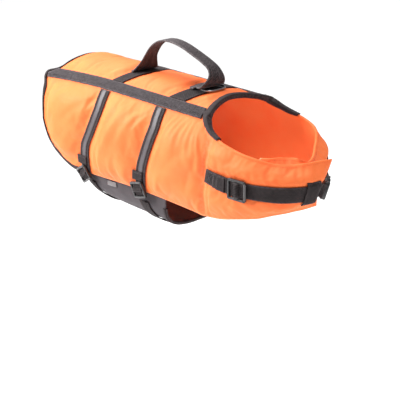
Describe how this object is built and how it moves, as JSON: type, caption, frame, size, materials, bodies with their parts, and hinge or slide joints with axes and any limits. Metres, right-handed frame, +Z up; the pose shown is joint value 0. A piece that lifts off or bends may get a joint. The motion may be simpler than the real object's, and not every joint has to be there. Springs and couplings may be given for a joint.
{
  "type": "dog life jacket",
  "caption": "Foam-filled flotation jacket for a dog in its worn shape, with a grab handle, belly flap, adjustable straps and a lapped chest band with a release buckle.",
  "frame": {"origin": "middle of the back panel's underside at the spine, where the dog's back carries the jacket", "axes": "+X towards the dog's head, +Y to the dog's left, +Z up"},
  "size_m": [0.6314, 0.2338, 0.3173],
  "materials": {
    "shell_cloth": "padded nylon cloth, slight sheen",
    "webbing": "ribbed polypropylene webbing",
    "belly_cloth": "plain woven cloth",
    "edge_tape": "folded grosgrain tape",
    "plastic": "moulded acetal, fine grain",
    "ring_metal": "welded steel wire, satin",
    "label_cloth": "woven satin tape, blank"
  },
  "bodies": {
    "root": {"adjuster_front_left": "plastic", "adjuster_front_right": "plastic", "adjuster_rear_left": "plastic", "adjuster_rear_right": "plastic", "back_panel": "shell_cloth", "belly_flap": "belly_cloth", "belly_strap_front": "webbing", "belly_strap_rear": "webbing", "blank_label": "label_cloth", "buckle_plug": "plastic", "buckle_socket": "plastic", "chest_adjuster_left": "plastic", "chest_adjuster_right": "plastic", "chest_float_left": "shell_cloth", "chest_float_right": "shell_cloth", "chest_strap_left": "webbing", "chest_strap_right": "webbing", "chest_tab_left": "webbing", "chest_tab_right": "webbing", "cross_strap_front": "webbing", "cross_strap_rear": "webbing", "flap_binding_front": "edge_tape", "flap_binding_rear": "edge_tape", "girth_strap_front_left": "webbing", "girth_strap_front_right": "webbing", "girth_strap_rear_left": "webbing", "girth_strap_rear_right": "webbing", "grab_handle": "webbing", "keeper": "webbing", "lead_ring": "ring_metal", "neck_binding": "edge_tape", "rear_binding": "edge_tape", "side_panel_left": "shell_cloth", "side_panel_right": "shell_cloth", "spine_webbing_left": "webbing", "spine_webbing_right": "webbing", "strap_tail_front_left": "webbing", "strap_tail_front_right": "webbing", "strap_tail_rear_left": "webbing", "strap_tail_rear_right": "webbing"}
  },
  "joints": []
}
